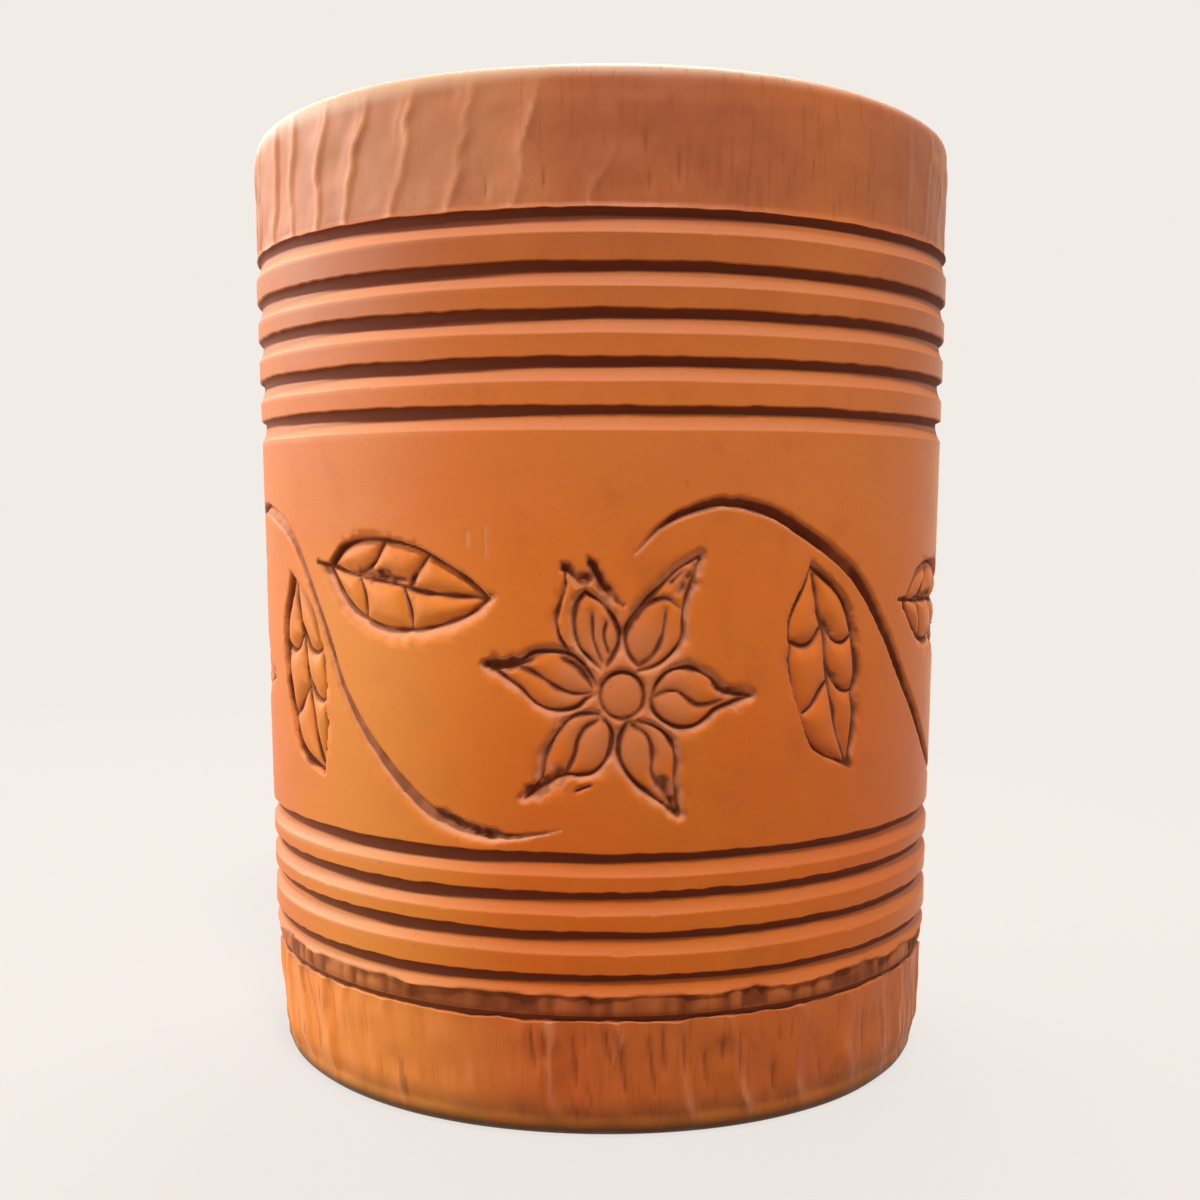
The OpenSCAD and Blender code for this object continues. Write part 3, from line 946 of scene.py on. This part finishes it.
# %% Work the surface of a section
def ring_marks(angle, z):
    """Lift of the rings in mm, and shares of bare clay, painted shadow and painted highlight in their
    grooves.
    """
    lift, bare, dust_and_shade, wear_and_highlight = (np.zeros(len(z)) for _ in range(4))
    # How much wider the painted shadow in the grooves is on the left of the flower
    shadow_widening = 0.2 * bell(angle + 0.5, 0.4)
    # Where the slopes of the grooves get a painted highlight, on the left side
    highlight_side = 0.85 * bell(angle + 1, 0.6)
    for k, low in enumerate(RING_LOWS):
        place = (z - low) / RING_HEIGHT
        here = window(z, low, low + RING_HEIGHT, 0.5)
        lift += here * (0.16 * ripple(angle, z, 34, TALL, 50 + k) + 0.05 * ripple(angle, z, 6, TALL, 70 + k))
        rough_edge = 0.07 * ripple(angle, z, 1.2, TALL, 90 + k) + 0.05 * ripple(angle, z, 3.1, TALL, 110 + k)
        lift += window(place, 0.9, 1.02, 0.05) * rough_edge
        chip = ease((ripple(angle, z, 1.7, TALL, 130 + k) - 0.72) / 0.2)
        lift -= window(place, -0.04, 0.05, 0.04) * 0.14 * chip
        thin = 0.09 * ripple(angle, z, 24, TALL, 170 + k) + 0.012 * ripple(angle, z, 3, TALL, 190 + k)
        bare = np.maximum(bare, window(place, 0.02, 0.42, 0.05) * (0.8 if k >= FIRST_UPPER else 0.4))
        # Painted highlight on the lower slope of each groove
        wear_and_highlight = np.maximum(wear_and_highlight, window(place, -0.02, 0.34, 0.06) * highlight_side)
        # Painted shadow in each groove, under the land above it
        dust_and_shade = np.maximum(dust_and_shade, ease((place - 0.53 + shadow_widening - thin) / 0.15) * ease((0.985 - place) / 0.03))
    edge = 0.13 * ripple(angle, z, 2.4, TALL, 155) + 0.05 * ripple(angle, z, 0.9, TALL, 156)
    lift += window(z, FOOT_BAND_HIGH - 0.3, FOOT_BAND_HIGH + 0.3, 0.3) * edge
    return lift, bare, dust_and_shade, wear_and_highlight


def ledge_marks(angle, z):
    """Where the knife scraped the ledge, how unevenly in mm, and the painted shade in the crease at its
    foot.
    """
    bite = 0.24 * ripple(angle, z, 3.8, TALL, 151) + 0.1 * ripple(angle, z, 1.3, TALL, 152)
    top = LEDGE_HIGH + 0.15 + bite
    scraped = ease((z - FOOT_BAND_HIGH - 0.5) / 0.3) * ease((top - z) / 0.12)
    scrape = 0.1 * ripple(angle, z, 0.9, 3, 33) + 0.14 * ripple(angle, z, 2.6, 4, 34)
    crevice_shade = window(z, FOOT_BAND_HIGH + 0.15, FOOT_BAND_HIGH + 0.6, 0.15)
    return scraped, scrape, crevice_shade


def work_surface(angle, z, r):
    """Moves points of a section, given as angles, heights and radii, as the hand did."""
    skin = ease((r - inside(z)) / WALL * 3.4 - 1)
    plain = outside(z)
    sunk = np.maximum(plain - r, 0)
    lift, ring_bare, ring_shadow, ring_highlight = ring_marks(angle, z)
    turned = sunk * (0.76 + 0.12 * ripple(angle, z, 26, 30, 61))
    carved, carved_bare, carved_dust_and_shade, carved_wear_and_highlight = carving(angle, z)
    rim_weight = ease((z - RIM_BAND_LOW + 0.06) / 0.1) * (1 - ease((z - (HEIGHT - 2.8)) / 2.6))
    foot_weight = ease((z - 0.3) / 2) * (1 - ease((z - FOOT_BAND_HIGH - 0.1) / 0.15))
    band_weight = rim_weight + foot_weight
    rim_cut, rim_dust, rim_wear_and_highlight = pared_rim(angle, z)
    foot_cut, foot_dust, foot_wear_and_highlight = pared_foot(angle, z)
    nick_cut, nick_dust = nicked(angle, z)
    scraped, scrape, crevice_shade = ledge_marks(angle, z)
    uneven = 0.1 * ripple(angle, z, 45, 30, 3) + 0.025 * ripple(angle, z, 7, 3, 4) - 0.1
    total = turned + carved + rim_weight * rim_cut + foot_weight * foot_cut + band_weight * nick_cut
    total = np.maximum(total, scraped * (0.36 + scrape)) + scraped * 0.3 * scrape
    outer = plain - total + uneven
    fingers = 0.16 * ripple(angle, z, 90, 4.5, 6) + 0.1 * ripple(angle, z, 40, 9, 7)
    inner = r + fingers * window(z, 14, HEIGHT - 4, 4)
    moved = inner * (1 - skin) + outer * skin
    band_bare = 0.25 * band_weight + 0.4 * scraped
    bare = np.maximum.reduce([ring_bare * (sunk > 0.02), carved_bare, band_bare]) * skin
    # The dark share: painted shadow in the rings' grooves, painted shade in the cuts, the crease and under
    # the ledge, and dust in the drag lines and nicks
    dust_and_shade = np.maximum.reduce([
        # Painted shade in the crease and painted shadow on the scraped ledge, under the ring above
        ring_shadow * (sunk > 0.02), carved_dust_and_shade, crevice_shade, scraped * (0.34 + 0.34 * ease(scrape * 6 + 0.5)),
        rim_weight * np.maximum(rim_dust, 0.7 * nick_dust), foot_weight * np.maximum(foot_dust, nick_dust),
    ]) * skin
    # The pale share: painted highlight on lit flanks, ring slopes and crests, and pale wear on crests and
    # scratches
    wear_and_highlight = np.maximum.reduce([
        carved_wear_and_highlight, ring_highlight, rim_weight * rim_wear_and_highlight, foot_weight * foot_wear_and_highlight,
    ]) * skin
    low_lip = 0.7 * bell(angle - 1.1, 0.45) + 0.2 * bell(angle + 1.1, 0.4)
    height = z + lift * skin - low_lip * ease((z - RIM_BAND_LOW - 2) / 8)
    return moved, height, np.clip(bare, 0, 1), np.clip(dust_and_shade, 0, 1), np.clip(wear_and_highlight, 0, 1)


MARKS = ("bare", "dust_and_shade", "wear_and_highlight")
# Points nearer than this in mm share one place
SAME = 1e-3


def finish_section(bm, name, seams, snap=False):
    """Makes the section's object, works its surface and keeps what the tools did to each point.

    Snap puts the finer faces' new points back on the round of the band before it is carved.
    """
    mesh = bpy.data.meshes.new(name)
    bm.to_mesh(mesh)
    bm.free()
    co = np.zeros(len(mesh.vertices) * 3)
    mesh.vertices.foreach_get("co", co)
    co = co.reshape(-1, 3) / MM
    angle = np.arctan2(co[:, 0], -co[:, 1])
    r, z = np.hypot(co[:, 0], co[:, 1]), co[:, 2]
    ends = np.zeros(len(mesh.edges) * 2, int)
    mesh.edges.foreach_get("vertices", ends)
    a, b = ends.reshape(-1, 2).T
    crisp = np.zeros(len(a), bool)
    for seam in seams:
        crisp |= (abs(z[a] - seam) < SAME) & (abs(z[b] - seam) < SAME) & (abs(r[a] - r[b]) < SAME)
    if snap:
        band = (z > BAND_LOW + 0.2) & (z < BAND_HIGH - 0.2) & (r > outside(z) - 0.5)
        r = np.where(band, outside(z), r)
    r, z, bare, dust_and_shade, wear_and_highlight = work_surface(angle, z, r)
    co = np.column_stack([r * np.sin(angle), -r * np.cos(angle), z]) * MM
    mesh.vertices.foreach_set("co", co.ravel())
    for mark, values in zip(MARKS, (bare, dust_and_shade, wear_and_highlight)):
        attribute = mesh.attributes.new(mark, "FLOAT", "POINT")
        attribute.data.foreach_set("value", values.astype(np.float32))
    mesh.shade_smooth()
    sharp = mesh.attributes.new("sharp_edge", "BOOLEAN", "EDGE")
    sharp.data.foreach_set("value", crisp)
    mesh.update()
    mesh.calc_loop_triangles()
    print(f"{name}: {len(mesh.loop_triangles)} triangles, {crisp.sum()} crisp edges at the joints")
    return new_object(name, mesh)


# %% The three sections of the body
# Columns of faces round the cup
FOOT_COLUMNS, BAND_COLUMNS, RIM_COLUMNS = 640, 320, 704

carved_bm = spin_section(carved_profile(), BAND_COLUMNS)
refine(carved_bm, (wide_reach, close_reach))
body_sections = [
    finish_section(spin_section(foot_profile(), FOOT_COLUMNS), "foot_section", [LOW_SEAM]),
    finish_section(carved_bm, "carved_section", [LOW_SEAM, HIGH_SEAM], snap=True),
    finish_section(spin_section(rim_profile(), RIM_COLUMNS), "rim_section", [HIGH_SEAM]),
]

# %% [markdown]
# ## Clay
# The cup is red earthenware fired without glaze. Its maker rubbed the leather-hard outside with
# a smooth stone, which presses the grains flat and leaves a satin skin, called burnishing. Where
# a tool broke that skin the raw clay shows: duller, darker and rougher. Painted light makes it
# more yellow on the left and paler at the left of the lip's band, painted shade darkens its foot,
# and the crests and the lip are painted pale, the crests as wear and as highlight and the lip as
# highlight. Each of these is one tone laid over the last by its own share, like thin washes of
# slip, so that any of them can be made stronger or taken away by itself.

# %% Small helpers for materials
def srgb(text):
    """A hex colour, as it looks on a screen, turned to the linear values that Blender mixes."""
    parts = [int(text[k:k + 2], 16) / 255 for k in (1, 3, 5)]
    linear = [c / 12.92 if c <= 0.04045 else ((c + 0.055) / 1.055) ** 2.4 for c in parts]
    return (*linear, 1)


def add_node(material, kind, settings=None, inputs=None):
    """Adds a shader node; an input is a plain value or the output socket that feeds it."""
    tree = material.node_tree
    node = tree.nodes.new("ShaderNode" + kind)
    for key, value in (settings or {}).items():
        setattr(node, key, value)
    for key, value in (inputs or {}).items():
        if isinstance(value, bpy.types.NodeSocket):
            tree.links.new(value, node.inputs[key])
        else:
            node.inputs[key].default_value = value
    return node


def new_material(name):
    """A material with no nodes yet."""
    material = bpy.data.materials.new(name)
    material.use_nodes = True
    material.node_tree.nodes.clear()
    return material


def maths(material, operation, *values):
    """One sum on two or three values."""
    return add_node(material, "Math", {"operation": operation}, dict(enumerate(values))).outputs[0]


def all_of(material, share, *others):
    """The product of shares: there only where all of them are."""
    for other in others:
        share = maths(material, "MULTIPLY", share, other)
    return share


def mixed(material, share, one, other):
    """Mixes two colours by a share."""
    node = add_node(material, "Mix", {"data_type": "RGBA"}, {"Factor": share, 6: one, 7: other})
    return node.outputs[2]


def washed(material, colour, washes):
    """Lays washes over a colour in turn, each a share and a tone."""
    for share, tone in washes:
        colour = mixed(material, share, colour, srgb(tone))
    return colour


def fitted(material, value, low, high, to_low=0, to_high=1):
    """Fits a value between two limits into a new range."""
    limits = {"Value": value, "From Min": low, "From Max": high, "To Min": to_low, "To Max": to_high}
    return add_node(material, "MapRange", {"interpolation_type": "SMOOTHSTEP"}, limits).outputs["Result"]


def mottle(material, place, size, detail=4):
    """Cloudy noise whose clouds are about the given size in mm."""
    inputs = {"Vector": place, "Scale": 1 / (size * MM), "Detail": detail, "Roughness": 0.55}
    return add_node(material, "TexNoise", None, inputs).outputs["Fac"]


def stretched(material, place, x, y, z):
    """Stretches a place, so that a noise read there is drawn out along an axis."""
    return add_node(material, "Mapping", None, {"Vector": place, "Scale": (x, y, z)}).outputs["Vector"]


def bumped(material, height, depth, strength, **normal):
    """Tips the surface by a relief whose depth is in mm."""
    inputs = {"Height": height, "Distance": depth * MM, "Strength": strength, **normal}
    return add_node(material, "Bump", None, inputs).outputs[0]


# %% Tones of the burnished clay
def burnished_tone(clay, place, bare, dust_and_shade, wear_and_highlight):
    """The clay's tones by height and at random, then painted light and shade, and what the hands and the
    tools did to it.
    """
    parts = add_node(clay, "SeparateXYZ", None, {"Vector": place}).outputs

    def height(low, high, *shares):
        return fitted(clay, parts["Z"], low * MM, high * MM, *shares)

    def side(low, high, *shares):
        return fitted(clay, parts["X"], low * MM, high * MM, *shares)

    def clouds(size, low, high, *shares):
        return fitted(clay, mottle(clay, place, size), low, high, *shares)

    # Painted light: warmer and lighter on the left side, in the middle and above the foot, where the lamps
    # fall
    painted_light_left = all_of(clay, side(-24, -4, 0.5, 0), side(-36, -25, 0.15, 1), height(45, 62, 1, 0))
    painted_light_foot = all_of(clay, side(-28, -2, 0.95, 0), height(9.5, 12.5, 1, 0))
    # Painted sheen on the left of the lip's band
    painted_sheen = all_of(clay, side(-10.5, -1, 0.35, 0), side(-34, -24, 0.3, 1), height(84, 85.5))
    painted_sheen = all_of(clay, painted_sheen, clouds(6, 0.25, 0.6, 0.55, 1))
    # Painted shade low on the foot
    painted_foot_shade = all_of(clay, height(1, 4.8, 0.65, 0), clouds(4, 0.3, 0.6, 0.5, 1))
    # Painted highlight along the lip, stronger on the left
    lip_highlight = maths(clay, "ADD", parts["Z"], side(-34, 0, 0.9 * MM, -0.5 * MM))
    streaks = fitted(clay, mottle(clay, stretched(clay, place, 1, 1, 0.09), 0.55, 3), 0.52, 0.7)
    pared = maths(clay, "ADD", height(84, 85, 0, 0.3), height(12.5, 14.5, 0.3, 0))
    return washed(clay, srgb("#C45C0F"), [
        (height(26, 50), "#CF6A1E"),
        (height(50, 64), "#CA6D2C"),
        (height(64, 84), "#A65628"),
        (height(83.5, 86), "#9C502A"),
        (height(10.5, 12.5, 1, 0), "#BA5110"),
        (clouds(24, 0.4, 0.7, 0, 0.4), "#CC7222"),
        (clouds(5, 0.5, 0.8, 0, 0.35), "#A44E1A"),
        (painted_light_left, "#DA9030"),
        (painted_light_foot, "#E88A34"),
        (painted_sheen, "#CD9770"),
        (painted_foot_shade, "#94601C"),
        # Painted shade along the bottom edge
        (height(0.5, 2, 0.92, 0), "#3C2608"),
        (fitted(clay, bare, 0, 1, 0, 0.8), "#C47850"),
        # Pale wear and painted highlight
        (fitted(clay, wear_and_highlight, 0, 1, 0, 0.75), "#DE9870"),
        (fitted(clay, lip_highlight, 94.9 * MM, 96.5 * MM, 0, 0.75), "#C8A284"),
        (all_of(clay, streaks, pared, side(-16, 2, 0.2, 1.2)), "#8A421C"),
        (fitted(clay, mottle(clay, place, 0.5, 2), 0.68, 0.76, 0, 0.3), "#7A3A1C"),
        # Dust and painted shade
        (fitted(clay, dust_and_shade, 0.05, 0.85, 0, 0.92), "#5C2109"),
    ])


# %% Burnished red earthenware
def burnished_earthenware():
    """Red earthenware, burnished when leather-hard: satin where rubbed, matte where cut."""
    clay = new_material("burnished_earthenware")
    place = add_node(clay, "TexCoord").outputs["Object"]
    bare, dust_and_shade, wear_and_highlight = (
        add_node(clay, "Attribute", {"attribute_name": mark}).outputs["Fac"] for mark in MARKS
    )
    matte = maths(clay, "ADD", fitted(clay, bare, 0, 1, 0.44, 0.72), fitted(clay, dust_and_shade, 0.1, 0.8, 0, 0.3))
    roughness = maths(clay, "MULTIPLY_ADD", mottle(clay, place, 9), 0.14, matte)
    grain = bumped(clay, mottle(clay, place, 0.35, 3), 0.03, 0.5)
    turning = mottle(clay, stretched(clay, place, 0.06, 0.06, 1), 0.5, 3)
    shader = add_node(clay, "BsdfPrincipled", None, {
        "Base Color": burnished_tone(clay, place, bare, dust_and_shade, wear_and_highlight), "Roughness": roughness,
        "Normal": bumped(clay, turning, 0.03, 0.35, Normal=grain), "IOR": 1.5,
        "Specular IOR Level": 0.28, "Sheen Weight": 0.14, "Sheen Roughness": 0.35,
        "Sheen Tint": srgb("#FFE2C0"),
    })
    add_node(clay, "OutputMaterial", None, {"Surface": shader.outputs[0]})
    return clay


burnished = burnished_earthenware()
for section in body_sections:
    section.data.materials.append(burnished)
print("burnished clay on", len(body_sections), "sections")

# %% Raw clay inside
def raw_earthenware(name, tone):
    """The same clay left as it came from the wheel: matte, with a fine sandy grain."""
    clay = new_material(name)
    place = add_node(clay, "TexCoord").outputs["Object"]
    clouds = fitted(clay, mottle(clay, place, 12), 0.35, 0.7, 0, 0.5)
    shader = add_node(clay, "BsdfPrincipled", None, {
        "Base Color": mixed(clay, clouds, srgb(tone), srgb("#8F4A26")), "Roughness": 0.82,
        "Normal": bumped(clay, mottle(clay, place, 0.4, 3), 0.05, 0.6), "IOR": 1.5,
    })
    add_node(clay, "OutputMaterial", None, {"Surface": shader.outputs[0]})
    return clay


for node_name, tone in (("floor_disc", "#B0643A"), ("seam_coil", "#AA5E36")):
    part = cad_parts[node_name]
    part.data.materials.clear()
    part.data.materials.append(raw_earthenware("raw_" + node_name, tone))
    print("raw clay on", node_name)

# %% [markdown]
# ## Seat the pieces
# The three sections stand for the measured wall, and all of them ride on the one body.

# %% Ride and replace
for section in body_sections:
    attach(section, "root")
    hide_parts("wall")

# %% [markdown]
# ## Stage and light
# The photograph has a plain warm white ground. The floor and the world show that colour to the
# camera, and part of the floor stays ordinary matte, so the cup keeps its shadow. A small bright
# lamp stands high in front and draws the shadows under the rings. Wide ones stand for windows at
# the left and behind, which light the left side and the lip, and a weak one fills the right.

# %% Floor and world
GROUND = "#F2ECE7"
# Half the width of the floor in metres
FLOOR_SIZE = 4.0


def seen_by_eye(material):
    """1 for a ray that an eye follows, also by way of a mirror or glass, and 0 for light."""
    rays = add_node(material, "LightPath").outputs
    seen = maths(material, "MAXIMUM", rays["Is Camera Ray"], rays["Is Glossy Ray"])
    return maths(material, "MAXIMUM", seen, rays["Is Transmission Ray"])


floor_bm = bmesh.new()
bmesh.ops.create_grid(floor_bm, x_segments=1, y_segments=1, size=FLOOR_SIZE)
floor_mesh = bpy.data.meshes.new("floor")
floor_bm.to_mesh(floor_mesh)
floor_bm.free()
floor = new_object("floor", floor_mesh)

ground = new_material("matte_ground")
seen = seen_by_eye(ground)
spot = add_node(ground, "TexCoord").outputs["Object"]
away = add_node(ground, "VectorMath", {"operation": "LENGTH"}, {0: spot}).outputs["Value"]
part_seen = maths(ground, "MULTIPLY", seen, fitted(ground, away, 0.04, 0.4, 0.86, 1))
tone = mixed(ground, seen, srgb("#8A8078"), srgb("#B0AAA4"))
matte = add_node(ground, "BsdfDiffuse", None, {"Color": tone})
shown = add_node(ground, "Emission", None, {"Color": srgb(GROUND), "Strength": 1})
blend = add_node(ground, "MixShader", None, {0: part_seen, 1: matte.outputs[0], 2: shown.outputs[0]})
add_node(ground, "OutputMaterial", None, {"Surface": blend.outputs[0]})
floor.data.materials.append(ground)

world = bpy.data.worlds.new("pale_room")
bpy.context.scene.world = world
world.use_nodes = True
world.node_tree.nodes.clear()
room = add_node(world, "Background", None, {"Color": srgb("#E8DED6"), "Strength": 0.2})
view = add_node(world, "Background", None, {"Color": srgb(GROUND), "Strength": 1})
chosen = add_node(world, "MixShader", None, {0: seen_by_eye(world), 1: room.outputs[0], 2: view.outputs[0]})
add_node(world, "OutputWorld", None, {"Surface": chosen.outputs[0]})
print("ground", GROUND, "on a floor", 2 * FLOOR_SIZE, "m wide")

# %% Lamps
def add_lamp(name, place, aim, size, power, tone):
    """A square soft lamp at a place in mm that points at another place."""
    data = bpy.data.lights.new(name, "AREA")
    data.size = size * MM
    data.energy = power
    data.color = srgb(tone)[:3]
    lamp = new_object(name, data)
    lamp.location = Vector(place) * MM
    lamp.rotation_euler = (Vector(aim) - Vector(place)).to_track_quat("-Z", "Y").to_euler()


add_lamp("high_window", (66, -313, 604), (0, 0, 50), 80, 4.1, "#FFFCF6")
add_lamp("left_window", (-578, -102, 175), (0, 0, 50), 320, 2.3, "#FFFAF0")
add_lamp("left_glow", (-533, 215, 282), (0, 0, 50), 300, 2.3, "#FFFCF8")
add_lamp("back_window", (-324, 414, 379), (0, 0, 60), 260, 1.6, "#FFFCF8")
add_lamp("back_roof", (44, 248, 616), (0, 0, 60), 260, 5, "#FFFCF6")
add_lamp("right_fill", (560, -200, 160), (0, 0, 50), 300, 0.35, "#FFFAF0")
print("lamps:", len(bpy.data.lights))
